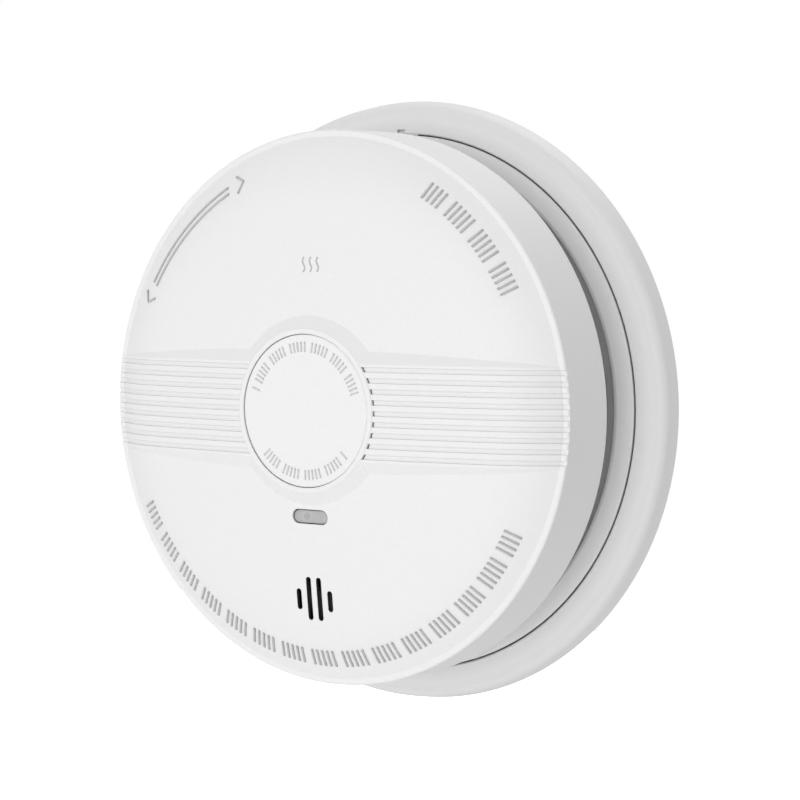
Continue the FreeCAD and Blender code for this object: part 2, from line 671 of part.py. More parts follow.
def chamber_cap():
    """Floor disc with bent fins that let smoke in and keep light out."""
    floor = disc(CHAMBER_RADIUS, CHAMBER_LOW, CHAMBER_LOW + CHAMBER_SKIN, 0, CHAMBER_Z)
    heights = (CHAMBER_LOW + CHAMBER_SKIN - EPS, OPTIC_HEIGHT - 4.2)
    half = FIN_THICKNESS / 2
    start, end = FIN_RADII
    legs = [block((start, end), heights, (-half, half)),
            block((start, start + FIN_THICKNESS), heights, (-FIN_BEND, half))]
    fins = [in_chamber(leg, index * 360.0 / FIN_COUNT) for index in range(FIN_COUNT) for leg in legs]
    return fused([floor] + fins)


def insect_screen():
    """Perforated band around the chamber's sides."""
    low, high = CHAMBER_LOW + 0.2, CHAMBER_TOP - 0.2
    inner = CHAMBER_RADIUS + 0.1
    wall = ring(inner, inner + SCREEN_THICKNESS, low, high, 0, CHAMBER_Z)
    pitch = (high - low - SCREEN_BAR) / SCREEN_ROWS
    holes = []
    for row in range(SCREEN_ROWS):
        hole_low = low + SCREEN_BAR + row * pitch
        hole = block((inner - OVER, inner + OVER), (hole_low, hole_low + pitch - SCREEN_BAR), SCREEN_HOLE)
        holes += [in_chamber(hole, column * 360.0 / SCREEN_COLUMNS) for column in range(SCREEN_COLUMNS)]
    return wall.cut(Part.makeCompound(holes))


# ---------------------------------------------------------------- batteries
def battery_cells():
    """Two cells side by side, pointing opposite ways."""
    cells = []
    for z, direction in zip(CELL_Z, (1, -1)):
        along = Vector(direction, 0, 0)
        half = direction * CELL_LENGTH / 2
        can = Part.makeCylinder(CELL_RADIUS, CELL_LENGTH, Vector(-half, -CELL_HEIGHT, z), along)
        nub = Part.makeCylinder(CELL_NUB_RADIUS, CELL_NUB, Vector(half, -CELL_HEIGHT, z), along)
        cells.append(can.fuse(nub).removeSplitter())
    return Part.makeCompound(cells)


def battery_contacts():
    """Sprung strips at both ends: one bridge across two cells, and two separate strips with tabs."""
    half = CONTACT_HALF_WIDTH
    outer = BOX_HALF_LENGTH - 2 * EPS
    inner = outer - CONTACT_THICKNESS
    heights = (CELL_HEIGHT - half, CELL_HEIGHT + half)
    bridge = block((-outer, -inner), heights, (CELL_Z[1] - half, CELL_Z[0] + half))
    strips = [block((inner, outer), heights, (z - half, z + half)) for z in CELL_Z]
    tab = block((inner, outer), (CELL_HEIGHT, BOX_TOP - EDGE), (CELL_Z[0] - OVER, CELL_Z[0] + OVER))
    return Part.makeCompound([bridge, strips[0].fuse(tab), strips[1]])


def battery_leads():
    """Two leads from the battery box up to the board."""
    return Part.makeCompound([disc(LEAD_RADIUS, BOX_TOP - OVER, BOARD[0] - EPS, side * LEAD_X, CELL_Z[0])
                              for side in (-1, 1)])


def door_plate(grow, low, high):
    half = BOX_HALF_LENGTH + DOOR_MARGIN + grow
    return block((-half, half), (low, high), (BOX_Z[0] - DOOR_MARGIN - grow, BOX_Z[1] + DOOR_MARGIN + grow))


def door_tabs(grow):
    """Two tongues on the door's lower edge that hook behind the housing floor."""
    edge = BOX_Z[0] - DOOR_MARGIN
    half = DOOR_TAB_WIDTH / 2 + grow
    heights = (DOOR_LEDGE - DOOR_TAB_THICKNESS - grow, DOOR_LEDGE if grow else DOOR_LEDGE - EPS)
    reach = (edge - DOOR_TAB_REACH - grow, edge + OVER)
    return [block((x - half, x + half), heights, reach) for x in DOOR_TABS_AT]


def battery_door():
    plate = door_plate(0.0, FLOOR_BACK, DOOR_LEDGE - EPS)
    proud = (FLOOR_BACK - EDGE, FLOOR_BACK + EPS)
    grips = [block((-8.0, 8.0), proud, (z, z + DOOR_GRIP)) for z in DOOR_GRIPS_AT]
    return fused([plate] + door_tabs(0.0) + grips)


# ---------------------------------------------------------------- screws
def pan_screw(shank_radius, head_radius, head, tip, x, z):
    """Pan-head screw with a cross recess; head is a range of heights and the tip is a height outside it."""
    low, high = head
    forward = tip > high
    shank = disc(shank_radius, *((low, tip) if forward else (tip, high)), x, z)
    recess = (low - OVER, low + SCREW_RECESS) if forward else (high - SCREW_RECESS, high + OVER)
    wide, narrow = 2 * shank_radius, shank_radius / 2
    cross = [centred_block(size, recess, x, z) for size in ((wide, narrow), (narrow, wide))]
    screw = disc(head_radius, low, high, x, z).fuse(shank).removeSplitter()
    return screw.cut(Part.makeCompound(cross))


def cover_screws():
    high = BOARD[0] - COVER_SCREW_SEAT - EPS
    head = (high - SCREW_HEAD, high)
    tip = BOARD[0] + SCREW_BITE
    return Part.makeCompound([pan_screw(1.2, 2.4, head, tip, *polar(COVER_SCREW_RADIUS, angle))
                              for angle in COVER_SCREW_ANGLES])


def board_screws():
    head = (ON_BOARD, ON_BOARD + SCREW_HEAD)
    tip = BOARD[0] - SCREW_BITE
    return Part.makeCompound([pan_screw(1.1, 2.3, head, tip, *polar(BOARD_SCREW_RADIUS, angle))
                              for angle in BOARD_SCREW_ANGLES])


NODES = (mounting_plate, rear_housing, front_cover, test_button, switch_body, switch_plunger, circuit_board,
         control_chip, capacitors, booster_coil, status_led, light_pipe, sounder_horn, sounder_disc,
         sounder_ceramic, chamber_base, chamber_cap, insect_screen, infrared_led, photodiode, battery_cells,
         battery_contacts, battery_leads, battery_door, cover_screws, board_screws)

os.makedirs("parts", exist_ok=True)
for build in NODES:
    shape = build()
    shape.exportStep(f"parts/{build.__name__}.step")
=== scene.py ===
import math

import bmesh
import bpy
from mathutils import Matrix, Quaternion, Vector
from mathutils.bvhtree import BVHTree


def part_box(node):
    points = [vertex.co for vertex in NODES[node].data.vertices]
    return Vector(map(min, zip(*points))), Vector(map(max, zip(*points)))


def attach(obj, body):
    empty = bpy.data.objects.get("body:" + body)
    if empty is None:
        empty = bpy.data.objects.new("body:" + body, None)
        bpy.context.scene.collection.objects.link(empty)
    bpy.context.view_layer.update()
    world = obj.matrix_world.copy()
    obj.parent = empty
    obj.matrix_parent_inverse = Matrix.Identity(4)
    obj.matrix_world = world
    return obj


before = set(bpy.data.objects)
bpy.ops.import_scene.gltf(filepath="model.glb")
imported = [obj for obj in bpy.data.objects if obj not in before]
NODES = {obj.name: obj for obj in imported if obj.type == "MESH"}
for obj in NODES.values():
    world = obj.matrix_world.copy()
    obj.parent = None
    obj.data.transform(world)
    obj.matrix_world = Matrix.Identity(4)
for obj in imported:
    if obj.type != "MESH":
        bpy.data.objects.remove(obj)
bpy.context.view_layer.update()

MM = 0.001

# ---- camera: the direction and lens that the object is shown with ----
VIEW_AZIMUTH = 34.64
VIEW_ELEVATION = 3.45
VIEW_ROLL = -0.15
CAMERA_DISTANCE = 565.8 * MM
CAMERA_LENS = 106.65
SENSOR_WIDTH = 36.0
CLIP_START = 0.01
CLIP_END = 20.0
AIM = Vector((-4.3, 0.0, 0.08)) * MM

# ---- plain marks on the face, in place of lettering ----
MARK_SINK = 0.15 * MM
COVER_STROKE = {"width": 0.58 * MM, "proud": 0.42 * MM}
BUTTON_STROKE = {"width": 0.42 * MM, "proud": 0.19 * MM}
PRINT_STROKE = {"width": 0.50 * MM, "proud": 0.03 * MM}
STROKE_PROFILE = [(-0.5, None), (-0.42, 0.7), (-0.26, 1.0), (0.26, 1.0), (0.42, 0.7), (0.5, None)]
GROUP = 5                                  # strokes in a group
COVER_ROW = {"radius": 56.4 * MM, "length": 3.7 * MM, "pitch": 1.45 * MM}
COVER_ROW_SPANS = {"stroke_row_upper": (28.0, 60.0), "stroke_row_lower": (205.0, 334.0)}    # degrees
BUTTON_ROW = {"radius": 14.3 * MM, "length": 2.2 * MM, "pitch": 1.0 * MM}
BUTTON_ROW_SPANS = {"button_strokes_upper": (17.0, 162.0), "button_strokes_lower": (222.0, 319.0)}
ARROW_RADIUS = 56.0 * MM
ARROW_SPAN = (118.0, 150.0)
ARROW_TIPS = (113.0, 155.0)
ARROW_HALF_GAP = 0.8 * MM                  # from the arrow's middle line to each of its two arcs
ARROW_HEAD = 2.1 * MM
WAVE_COUNT = 3
WAVE_PITCH = 1.9 * MM
WAVE_LOW = 30.9 * MM
WAVE_LENGTH = 3.3 * MM
WAVE_SWING = 0.35 * MM
WAVE_STEPS = 8

# ---- what the materials follow on the object ----
SOUND_SLOT_SHADE_ZONE = (-42.5 * MM, 8.0 * MM)       # painted shade on the sound slot walls: height of the openings' middle, and a radius that holds them all
PLATE_SHOULDER_SHADE = (66.5 * MM, 69.5 * MM, 0.14)    # radii between which the plate's colour darkens as painted shade on its shoulder, and the share
CELL_HALF_LENGTH = 25.8 * MM
SPOT_OFFSET = -1.1 * MM                    # from the lens's middle to the diode behind it
SPOT_REACH = 2.0 * MM

# ---- stage ----
FLOOR_HALF_SIZE = 3.0
FLOOR_LEVEL = -0.60
FLOOR_STEPS = 8
FLOOR_GLOW = 1.5                           # seen by the camera only, so that the floor looks plain white
AMBIENT = 0.68
LIGHTS = {                                 # azimuth, elevation, watts
    "high_back": (180.0, 60.0, 2.63),
    "front": (0.0, 12.0, 1.56),
    "level_front": (0.0, 0.0, 1.19),
    "low_front": (0.0, -20.0, 0.80),
    "left_front": (-25.0, 0.0, 0.30),
}
LIGHT_DISTANCE = 0.9
LIGHT_SIZE = 0.7


# ------------------------------------------------------------------ materials
RAY_SAMPLES = 6
# colour of the painted shade on slot walls
SLOT_SHADE = (0.04, 0.04, 0.04)
# painted shade in recesses: a reach, then pairs of the open share of the sky and the factor on the colour
NARROW_GAP_SHADE = (2.2 * MM, ((0.05, 0.5), (0.30, 1.0)))
UNDER_COVER_SHADE = (9.0 * MM, ((0.05, 0.30), (0.55, 1.0)))
LENS_RIM_SHADE = (0.8 * MM, ((0.50, 0.15), (0.85, 1.0)))
GRAIN_SIZE = 0.28 * MM
MOTTLE_SIZE = 14.0 * MM
STREAK_SIZE = 6.0 * MM


class Graph:
    """Small helper that adds shader nodes to one material and links them by name."""

    def __init__(self, name):
        self.material = bpy.data.materials.new(name)
        self.material.use_nodes = True
        self.tree = self.material.node_tree
        self.shader = self.tree.nodes["Principled BSDF"]
        self.coords = self.add("ShaderNodeTexCoord").outputs["Object"]

    def add(self, kind, **settings):
        node = self.tree.nodes.new(kind)
        for key, value in settings.items():
            setattr(node, key, value)
        return node

    def link(self, source, target):
        self.tree.links.new(source, target)

    def noise(self, scale, detail=2.0, roughness=0.5, coords=None):
        node = self.add("ShaderNodeTexNoise")
        node.inputs["Scale"].default_value = scale
        node.inputs["Detail"].default_value = detail
        node.inputs["Roughness"].default_value = roughness
        self.link(coords or self.coords, node.inputs["Vector"])
        return node.outputs["Fac"]

    def ramp(self, factor, stops):
        node = self.add("ShaderNodeValToRGB")
        elements = node.color_ramp.elements
        while len(elements) < len(stops):
            elements.new(0.5)
        for element, (position, colour) in zip(elements, stops):
            element.position = position
            element.color = (*colour, 1.0)
        self.link(factor, node.inputs["Fac"])
        return node.outputs["Color"]

    def spread(self, factor, low, high):
        node = self.add("ShaderNodeMapRange")
        node.inputs["To Min"].default_value = low
        node.inputs["To Max"].default_value = high
        self.link(factor, node.inputs["Value"])
        return node.outputs["Result"]

    def bump(self, height, distance, normal=None):
        node = self.add("ShaderNodeBump")
        node.inputs["Strength"].default_value = 1.0
        node.inputs["Distance"].default_value = distance
        self.link(height, node.inputs["Height"])
        if normal is not None:
            self.link(normal, node.inputs["Normal"])
        return node.outputs["Normal"]

    def mix(self, factor, first, second):
        node = self.add("ShaderNodeMix", data_type="RGBA")
        self.link(factor, node.inputs["Factor"])
        for name, value in (("A", first), ("B", second)):
            socket = next(s for s in node.inputs if s.name == name and s.type == "RGBA")
            if isinstance(value, bpy.types.NodeSocket):
                self.link(value, socket)
            else:
                socket.default_value = (*value, 1.0)
        return next(s for s in node.outputs if s.type == "RGBA")

    def painted_recess_shade(self, colour, reach, falloff):
        """Painted shade: colour darkened in narrow recesses; falloff pairs the open share of the sky with a
        factor.
        """
        node = self.add("ShaderNodeAmbientOcclusion", samples=RAY_SAMPLES)
        node.inputs["Distance"].default_value = reach
        shade_factor = self.ramp(node.outputs["AO"], [(share, (factor,) * 3) for share, factor in falloff])
        product = self.add("ShaderNodeVectorMath", operation="MULTIPLY")
        self.link(colour, product.inputs[0])
        self.link(shade_factor, product.inputs[1])
        return product.outputs["Vector"]

    def off_axis(self, x=0.0, z=0.0):
        """Distance from the line through (x, z) that runs straight out of the wall."""
        offset = self.add("ShaderNodeVectorMath", operation="SUBTRACT")
        self.link(self.coords, offset.inputs[0])
        offset.inputs[1].default_value = (x, 0.0, z)
        flat = self.add("ShaderNodeVectorMath", operation="MULTIPLY")
        self.link(offset.outputs["Vector"], flat.inputs[0])
        flat.inputs[1].default_value = (1.0, 0.0, 1.0)
        length = self.add("ShaderNodeVectorMath", operation="LENGTH")
        self.link(flat.outputs["Vector"], length.inputs[0])
        return length.outputs["Value"]

    def compare(self, value, operation, limit):
        """1 where the value passes the test against the limit, else 0."""
        node = self.add("ShaderNodeMath", operation=operation)
        self.link(value, node.inputs[0])
        node.inputs[1].default_value = limit
        return node.outputs["Value"]

    def painted_shoulder_shade(self, colour, start, end, share):
        """Painted shade: colour darkened by a share between two distances from the alarm's axis."""
        place = self.add("ShaderNodeMapRange")
        place.inputs["From Min"].default_value = start
        place.inputs["From Max"].default_value = end
        place.inputs["To Min"].default_value = 1.0
        place.inputs["To Max"].default_value = 1.0 - share
        self.link(self.off_axis(), place.inputs["Value"])
        scaled = self.add("ShaderNodeVectorMath", operation="SCALE")
        self.link(colour, scaled.inputs[0])
        self.link(place.outputs["Result"], scaled.inputs["Scale"])
        return scaled.outputs["Vector"]

    def painted_slot_shade(self, colour, z, radius):
        """Painted shade: colour that turns dark on the side walls of the openings around (0, z)."""
        split = self.add("ShaderNodeSeparateXYZ")
        self.link(self.add("ShaderNodeTexCoord").outputs["Normal"], split.inputs["Vector"])
        facing = self.add("ShaderNodeMath", operation="ABSOLUTE")
        self.link(split.outputs["Y"], facing.inputs[0])
        shaded_slot_wall = self.add("ShaderNodeMath", operation="MULTIPLY")
        self.link(self.compare(facing.outputs["Value"], "LESS_THAN", 0.5), shaded_slot_wall.inputs[0])
        self.link(self.compare(self.off_axis(z=z), "LESS_THAN", radius), shaded_slot_wall.inputs[1])
        return self.mix(shaded_slot_wall.outputs["Value"], colour, SLOT_SHADE)

    def rounded_edges(self, radius):
        node = self.add("ShaderNodeBevel", samples=RAY_SAMPLES)
        node.inputs["Radius"].default_value = radius
        return node.outputs["Normal"]

    def set(self, **values):
        for key, value in values.items():
            socket = self.shader.inputs[key.replace("_", " ")]
            if isinstance(value, bpy.types.NodeSocket):
                self.link(value, socket)
            else:
                socket.default_value = value
        return self.material


def shade(colour, factor):
    return tuple(channel * factor for channel in colour)


def grey(level):
    return (level, level, level)


def moulded_plastic(name, colour, grain=0.02 * MM, roughness=0.52, edge=0.18 * MM, speckle=0.03,
                    recess_shade=NARROW_GAP_SHADE, slot_shade=None, shoulder_shade=None):
    """Matt moulded plastic: fine spark-eroded grain, faint mottling, soft edges and painted shade in narrow
    recesses, with optional painted shade on slot walls and towards a rim.
    """
    graph = Graph(name)
    fine = graph.noise(1.0 / GRAIN_SIZE, detail=3.0, roughness=0.65)
    broad = graph.noise(1.0 / MOTTLE_SIZE, detail=2.0)
    tint = graph.ramp(fine, [(0.3, shade(colour, 1.0 - speckle)), (0.7, shade(colour, 1.0 + speckle))])
    # painted shade: the colour darkens where little of the sky is open, in gaps and recesses
    tint = graph.painted_recess_shade(tint, *recess_shade)
    # painted shade on the side walls of openings
    if slot_shade:
        tint = graph.painted_slot_shade(tint, *slot_shade)
    # painted shade towards the outer rim
    if shoulder_shade:
        tint = graph.painted_shoulder_shade(tint, *shoulder_shade)
    normal = graph.bump(fine, grain, normal=graph.rounded_edges(edge))
    gloss = graph.spread(broad, roughness - 0.04, roughness + 0.05)
    return graph.set(Base_Color=tint, Roughness=gloss, Normal=normal, IOR=1.49)


def brushed_metal(name, colour, stretch=(1.0, 14.0, 14.0), roughness=0.32):
    """Metal with fine streaks along X, or even grains where the stretch is the same all round."""
    graph = Graph(name)
    mapping = graph.add("ShaderNodeMapping")
    mapping.inputs["Scale"].default_value = stretch
    graph.link(graph.coords, mapping.inputs["Vector"])
    streaks = graph.noise(1.0 / STREAK_SIZE, detail=4.0, coords=mapping.outputs["Vector"])
    tint = graph.ramp(streaks, [(0.3, shade(colour, 0.86)), (0.7, colour)])
    gloss = graph.spread(streaks, roughness - 0.1, roughness + 0.12)
    relief = graph.bump(streaks, 0.01 * MM)
    return graph.set(Base_Color=tint, Metallic=1.0, Roughness=gloss, Normal=relief)


def board_lacquer():
    """Green solder mask over a faint pattern of tracks."""
    graph = Graph("board_lacquer")
    tracks = graph.add("ShaderNodeTexBrick", offset=0.37, squash=1.4)
    mapping = graph.add("ShaderNodeMapping")
    mapping.inputs["Rotation"].default_value = (math.pi / 2, 0.0, 0.0)
    graph.link(graph.coords, mapping.inputs["Vector"])
    graph.link(mapping.outputs["Vector"], tracks.inputs["Vector"])
    layout = {"Scale": 140.0, "Mortar Size": 0.012, "Brick Width": 0.9, "Row Height": 0.35}
    for key, value in layout.items():
        tracks.inputs[key].default_value = value
    bare_board, over_track = (0.010, 0.075, 0.030), (0.022, 0.160, 0.060)
    tint = graph.ramp(tracks.outputs["Fac"], [(0.0, bare_board), (1.0, over_track)])
    return graph.set(Base_Color=tint, Roughness=0.28, Normal=graph.bump(tracks.outputs["Fac"], 0.03 * MM))


def cell_wrap():
    """Battery sleeve: dark wrap with a copper-coloured band near one end."""
    graph = Graph("cell_wrap")
    split = graph.add("ShaderNodeSeparateXYZ")
    graph.link(graph.coords, split.inputs["Vector"])
    place = graph.add("ShaderNodeMapRange")
    place.inputs["From Min"].default_value = -CELL_HALF_LENGTH
    place.inputs["From Max"].default_value = CELL_HALF_LENGTH
    graph.link(split.outputs["X"], place.inputs["Value"])
    dark, copper, steel = (0.03, 0.035, 0.04), (0.55, 0.27, 0.12), (0.6, 0.6, 0.6)
    bands = [(0.0, steel), (0.02, steel), (0.025, dark), (0.72, dark), (0.73, copper), (0.97, copper),
             (0.98, steel)]
    tint = graph.ramp(place.outputs["Result"], bands)
    fine = graph.noise(900.0)
    return graph.set(Base_Color=tint, Metallic=0.35, Roughness=graph.spread(fine, 0.28, 0.4),
                     Normal=graph.bump(fine, 0.01 * MM))


def lead_insulation():
    """Black lead on the left, red on the right."""
    graph = Graph("lead_insulation")
    split = graph.add("ShaderNodeSeparateXYZ")
    graph.link(graph.coords, split.inputs["Vector"])
    on_the_right = graph.compare(split.outputs["X"], "GREATER_THAN", 0.0)
    tint = graph.ramp(on_the_right, [(0.0, (0.02, 0.02, 0.02)), (1.0, (0.45, 0.03, 0.02))])
    fine = graph.noise(1500.0)
    return graph.set(Base_Color=tint, Roughness=0.4, Normal=graph.bump(fine, 0.01 * MM))


def clear_lens():
    """Cloudy moulded lens; the diode behind it shows as a slightly darker spot, ringed by a pale painted
    highlight, with painted shade at the lens's edge.
    """
    graph = Graph("clear_lens")
    cloud = graph.noise(1.0 / (1.2 * MM), detail=3.0, roughness=0.6)
    base = graph.ramp(cloud, [(0.3, (0.45, 0.452, 0.455)), (0.7, (0.53, 0.532, 0.535))])
    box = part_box("light_pipe")
    centre = (Vector(box[0]) + Vector(box[1])) / 2
    spot = graph.add("ShaderNodeMapRange")
    spot.inputs["From Max"].default_value = SPOT_REACH
    graph.link(graph.off_axis(centre.x + SPOT_OFFSET, centre.z), spot.inputs["Value"])
    # painted highlight: a pale ring round the diode's darker spot
    halo_highlight_steps = [(0.0, grey(0.0)), (0.35, grey(0.2)), (0.6, grey(1.0)), (0.8, grey(0.6)), (1.0, grey(0.6))]
    halo_highlight = graph.ramp(spot.outputs["Result"], halo_highlight_steps)
    tint = graph.mix(halo_highlight, (0.42, 0.422, 0.42), grey(0.54))
    beyond = graph.ramp(spot.outputs["Result"], [(0.8, grey(0.0)), (1.0, grey(1.0))])
    seen = graph.mix(beyond, tint, base)
    fine = graph.noise(1.0 / (0.5 * MM), detail=2.0)
    # painted shade round the lens's edge
    seen = graph.painted_recess_shade(seen, *LENS_RIM_SHADE)
    relief = graph.bump(fine, 0.02 * MM, normal=graph.rounded_edges(0.25 * MM))
    return graph.set(Base_Color=seen, Roughness=0.14, Transmission_Weight=0.15, IOR=1.5, Normal=relief)


def epoxy(name, colour, transmission=0.5):
    """Clear or tinted casting resin, slightly cloudy."""
    graph = Graph(name)
    cloud = graph.noise(1.0 / (0.8 * MM))
    tint = graph.ramp(cloud, [(0.3, shade(colour, 0.85)), (0.7, colour)])
    gloss = graph.spread(cloud, 0.08, 0.18)
    return graph.set(Base_Color=tint, Roughness=gloss, Transmission_Weight=transmission, IOR=1.52)


def silvered_ceramic():
    """Ceramic with a silvered electrode that is a little tarnished."""
    graph = Graph("silvered_ceramic")
    spots = graph.noise(1.0 / (0.5 * MM), detail=4.0)
    tint = graph.ramp(spots, [(0.35, (0.60, 0.59, 0.56)), (0.65, (0.76, 0.75, 0.71))])
    return graph.set(Base_Color=tint, Metallic=0.4, Roughness=graph.spread(spots, 0.3, 0.55),
                     Normal=graph.bump(spots, 0.01 * MM))


# every moulded plastic below carries painted shade in narrow gaps and recesses; the cover's also on its sound
# slot walls
COVER_WHITE = moulded_plastic("cover_white", grey(0.76), slot_shade=SOUND_SLOT_SHADE_ZONE)
# moulded marks in the cover's and the button's own plastic, coloured darker as painted shade of their relief
COVER_MARK_SHADED = moulded_plastic("cover_mark_shaded", grey(0.48))
BUTTON_MARK_SHADED = moulded_plastic("button_mark_shaded", grey(0.58))
BUTTON_WHITE = moulded_plastic("button_white", grey(0.77), edge=0.12 * MM)
# painted shade darkens the plate towards its outer shoulder
PLATE_WHITE = moulded_plastic("plate_white", grey(0.84), edge=0.15 * MM, shoulder_shade=PLATE_SHOULDER_SHADE)
# the housing's painted shade reaches far under the cover
HOUSING_WHITE = moulded_plastic("housing_white", grey(0.81), edge=0.2 * MM, recess_shade=UNDER_COVER_SHADE)
PRINT_GREY = moulded_plastic("print_grey", grey(0.44), grain=0.004 * MM, edge=0.05 * MM)
BLACK = moulded_plastic("black_plastic", (0.018, 0.018, 0.019), roughness=0.6, speckle=0.15)
CHIP = moulded_plastic("chip_plastic", (0.03, 0.03, 0.032), roughness=0.5, edge=0.08 * MM, speckle=0.1)
STEEL = brushed_metal("zinc_steel", (0.62, 0.62, 0.60))
NICKEL = brushed_metal("nickel_strip", (0.70, 0.69, 0.66), roughness=0.24)
SCREEN = brushed_metal("screen_steel", (0.42, 0.42, 0.41), stretch=(4.0, 4.0, 4.0), roughness=0.4)
BRASS = brushed_metal("rolled_brass", (0.78, 0.55, 0.22), roughness=0.3)
CAN = moulded_plastic("can_sleeve", (0.03, 0.04, 0.09), roughness=0.3, grain=0.004 * MM, speckle=0.1)

MATERIAL_OF = {
    "mounting_plate": PLATE_WHITE,
    "rear_housing": HOUSING_WHITE,
    "front_cover": COVER_WHITE,
    "test_button": BUTTON_WHITE,
    "switch_body": BLACK,
    "switch_plunger": BLACK,
    "circuit_board": board_lacquer(),
    "control_chip": CHIP,
    "capacitors": CAN,
    "booster_coil": CHIP,
    "status_led": epoxy("led_red", (0.7, 0.06, 0.04)),
    "light_pipe": clear_lens(),
    "sounder_horn": BLACK,
    "sounder_disc": BRASS,
    "sounder_ceramic": silvered_ceramic(),
    "chamber_base": BLACK,
    "chamber_cap": BLACK,
    "insect_screen": SCREEN,
    "infrared_led": epoxy("emitter_epoxy", (0.5, 0.55, 0.75)),
    "photodiode": epoxy("receiver_epoxy", (0.05, 0.02, 0.07), 0.1),
    "battery_cells": cell_wrap(),
    "battery_contacts": NICKEL,
    "battery_leads": lead_insulation(),
    "battery_door": HOUSING_WHITE,
    "cover_screws": STEEL,
    "board_screws": STEEL,
}


def dress_cad_nodes():
    """Give every CAD piece its own material."""
    for name, node in NODES.items():
        node.data.materials.clear()
        node.data.materials.append(MATERIAL_OF[name])


# ------------------------------------------------------------------ marks
def surface_finder(node_name):
    """Function that gives the height of a node's front surface at (x, z), as its y value."""
    mesh = NODES[node_name].data
    tree = BVHTree.FromPolygons([v.co for v in mesh.vertices], [p.vertices for p in mesh.polygons])
    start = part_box(node_name)[0].y - 5 * MM

    def height(x, z):
        hit = tree.ray_cast(Vector((x, start, z)), Vector((0.0, 1.0, 0.0)))
        return hit[0].y
    return height


def ribbon(mesh, path, height_at, width, proud):
    """Raised closed ridge along a path of (x, z) points, with a rounded top and closed ends."""
    rows = []
    for index, (x, z) in enumerate(path):
        before = Vector(path[max(index - 1, 0)])
        after = Vector(path[min(index + 1, len(path) - 1)])
        along = (after - before).normalized()
        side = Vector((-along.y, along.x))
        row = []
        for offset, level in STROKE_PROFILE:
            px = x + side.x * offset * width
            pz = z + side.y * offset * width
            base = height_at(px, pz)
            y = base + MARK_SINK if level is None else base - proud * level
            row.append(mesh.verts.new((px, y, pz)))
        rows.append(row)
    count = len(STROKE_PROFILE)
    for first, second in zip(rows, rows[1:]):
        for k in range(count):
            following = (k + 1) % count
            mesh.faces.new((first[k], first[following], second[following], second[k]))
    mesh.faces.new(rows[0][::-1])
    mesh.faces.new(rows[-1])


def on_circle(radius, angle):
    """(x, z) of a point about the alarm's axis, the angle in degrees from +X towards +Z."""
    return radius * math.cos(math.radians(angle)), radius * math.sin(math.radians(angle))


def arc_path(radius, start, end, step=2.0):
    """Points along an arc about the alarm's axis, about step degrees apart."""
    count = max(2, int(abs(end - start) / step) + 1)
    return [on_circle(radius, start + (end - start) * i / (count - 1)) for i in range(count)]


def stroke_row(mesh, height_at, span, radius, length, pitch, stroke):
    """Row of short radial strokes in even groups, with one stroke left out after each group."""
    start, end = span
    turn = math.degrees(pitch / radius)
    count = int((end - start) / turn) + 1
    first = (start + end - (count - 1) * turn) / 2
    radii = [radius + length * (step / 3 - 0.5) for step in range(4)]
    for index in range(count):
        if index % (GROUP + 1) == GROUP:
            continue
        angle = first + index * turn
        ribbon(mesh, [on_circle(r, angle) for r in radii], height_at, **stroke)


def chevron(mesh, height_at, radius, angle, direction, size, stroke):
    """Arrowhead on a circle that points along it; direction is 1 for counter-clockwise."""
    back = angle - direction * math.degrees(size / radius)
    path = [on_circle(radius + size, back), on_circle(radius, angle), on_circle(radius - size, back)]
    ribbon(mesh, path, height_at, **stroke)


def twist_arrow(face):
    """Two arcs side by side, with an arrowhead at each end."""
    arrow = bmesh.new()
    for offset in (-ARROW_HALF_GAP, ARROW_HALF_GAP):
        ribbon(arrow, arc_path(ARROW_RADIUS + offset, *ARROW_SPAN), face, **COVER_STROKE)
    for angle, turning in zip(ARROW_TIPS, (-1, 1)):
        chevron(arrow, face, ARROW_RADIUS, angle, turning, ARROW_HEAD, COVER_STROKE)
    finish_mark("twist_arrow", arrow, COVER_MARK_SHADED, "alarm_body")


def stroke_rows(face, spans, row, stroke, material, body):
    """One piece per span, each a row of strokes."""
    for name, span in spans.items():
        mesh = bmesh.new()
        stroke_row(mesh, face, span, stroke=stroke, **row)
        finish_mark(name, mesh, material, body)


def smoke_sign(face):
    """Three upright wavy lines above the button."""
    sign = bmesh.new()
    shares = [step / WAVE_STEPS for step in range(WAVE_STEPS + 1)]
    for index in range(WAVE_COUNT):
        x = (index - (WAVE_COUNT - 1) / 2) * WAVE_PITCH
        wave = [(x + WAVE_SWING * math.sin(2 * math.pi * share), WAVE_LOW + WAVE_LENGTH * share)
                for share in shares]
        ribbon(sign, wave, face, **PRINT_STROKE)
    finish_mark("smoke_sign", sign, PRINT_GREY, "alarm_body")


def cover_marks():
    """Twist arrow at the upper left, stroke rows where a moulder puts its notes, and a smoke sign."""
    face = surface_finder("front_cover")
    twist_arrow(face)
    stroke_rows(face, COVER_ROW_SPANS, COVER_ROW, COVER_STROKE, COVER_MARK_SHADED, "alarm_body")
    smoke_sign(face)


def button_marks():
    """Stroke rows round the button's face."""
    face = surface_finder("test_button")
    stroke_rows(face, BUTTON_ROW_SPANS, BUTTON_ROW, BUTTON_STROKE, BUTTON_MARK_SHADED, "test_button")


def object_from(name, mesh):
    """New object in the scene that takes over a bmesh."""
    data = bpy.data.meshes.new(name)
    mesh.to_mesh(data)
    mesh.free()
    piece = bpy.data.objects.new(name, data)
    bpy.context.scene.collection.objects.link(piece)
    return piece


def finish_mark(name, mesh, material, body):
    """Smooth piece in one material that rides on a body."""
    bmesh.ops.recalc_face_normals(mesh, faces=mesh.faces)
    piece = object_from(name, mesh)
    for polygon in piece.data.polygons:
        polygon.use_smooth = True
    piece.data.materials.append(material)
    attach(piece, body)


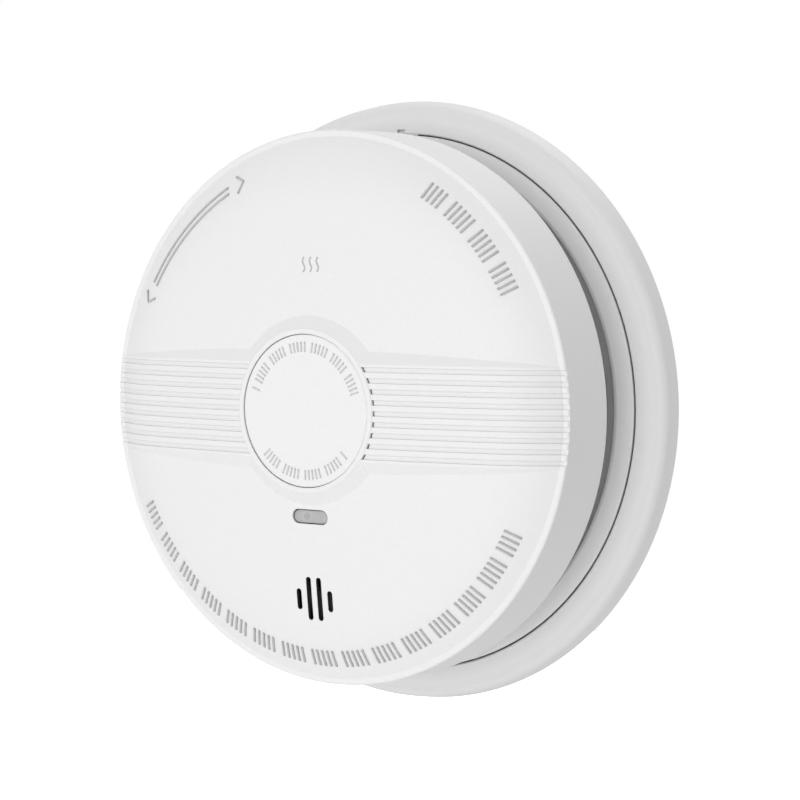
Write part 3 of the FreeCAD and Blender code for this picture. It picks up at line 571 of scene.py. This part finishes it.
# ------------------------------------------------------------------ stage
def pale_floor():
    """Plain pale floor, well below the alarm."""
    mesh = bmesh.new()
    places = [FLOOR_HALF_SIZE * (step / FLOOR_STEPS * 2 - 1) for step in range(FLOOR_STEPS + 1)]
    grid = [[mesh.verts.new((x, y, FLOOR_LEVEL)) for y in places] for x in places]
    for row, following in zip(grid, grid[1:]):
        for j in range(FLOOR_STEPS):
            mesh.faces.new((row[j], following[j], following[j + 1], row[j + 1]))
    floor = object_from("floor", mesh)
    graph = Graph("floor_white")
    rays = graph.add("ShaderNodeLightPath")
    glow = graph.spread(rays.outputs["Is Camera Ray"], 0.0, FLOOR_GLOW)
    floor.data.materials.append(graph.set(Base_Color=(0.9, 0.9, 0.9, 1.0), Roughness=0.9,
                                          Emission_Color=(1.0, 1.0, 1.0, 1.0), Emission_Strength=glow))


def direction(azimuth, elevation):
    """Unit vector from the object towards a light or camera; azimuth 0 is in front, 90 on the right."""
    a, e = math.radians(azimuth), math.radians(elevation)
    return Vector((math.sin(a) * math.cos(e), -math.cos(a) * math.cos(e), math.sin(e)))


def soft_lights():
    """Large round lamps that all face the object."""
    for name, (azimuth, elevation, watts) in LIGHTS.items():
        lamp = bpy.data.lights.new(name, "AREA")
        lamp.shape = "DISK"
        lamp.size = LIGHT_SIZE
        lamp.energy = watts
        holder = bpy.data.objects.new(name, lamp)
        bpy.context.scene.collection.objects.link(holder)
        back = direction(azimuth, elevation)
        holder.location = back * LIGHT_DISTANCE
        holder.rotation_euler = back.to_track_quat("Z", "Y").to_euler()


def white_surround():
    """Even pale light from all round, and plain white where the camera sees past the object."""
    world = bpy.data.worlds.new("surround")
    bpy.context.scene.world = world
    world.use_nodes = True
    tree = world.node_tree
    ambient = tree.nodes["Background"]
    ambient.inputs["Strength"].default_value = AMBIENT
    ambient.inputs["Color"].default_value = (1.0, 1.0, 1.0, 1.0)
    seen = tree.nodes.new("ShaderNodeBackground")
    seen.inputs["Color"].default_value = (1.0, 1.0, 1.0, 1.0)
    seen.inputs["Strength"].default_value = 1.0
    mix = tree.nodes.new("ShaderNodeMixShader")
    rays = tree.nodes.new("ShaderNodeLightPath")
    tree.links.new(rays.outputs["Is Camera Ray"], mix.inputs["Fac"])
    tree.links.new(ambient.outputs["Background"], mix.inputs[1])
    tree.links.new(seen.outputs["Background"], mix.inputs[2])
    tree.links.new(mix.outputs["Shader"], tree.nodes["World Output"].inputs["Surface"])


def place_camera():
    """Camera at the viewing angle, looking back at the aim point with a slight roll."""
    data = bpy.data.cameras.new("camera")
    data.lens = CAMERA_LENS
    data.sensor_width = SENSOR_WIDTH
    data.clip_start = CLIP_START
    data.clip_end = CLIP_END
    camera = bpy.data.objects.new("camera", data)
    bpy.context.scene.collection.objects.link(camera)
    back = direction(VIEW_AZIMUTH, VIEW_ELEVATION)
    camera.location = AIM + back * CAMERA_DISTANCE
    turn = back.to_track_quat("Z", "Y") @ Quaternion((0.0, 0.0, 1.0), math.radians(VIEW_ROLL))
    camera.rotation_euler = turn.to_euler()
    bpy.context.scene.camera = camera


dress_cad_nodes()
cover_marks()
button_marks()
pale_floor()
soft_lights()
white_surround()
place_camera()
bpy.context.scene.view_settings.view_transform = "Standard"
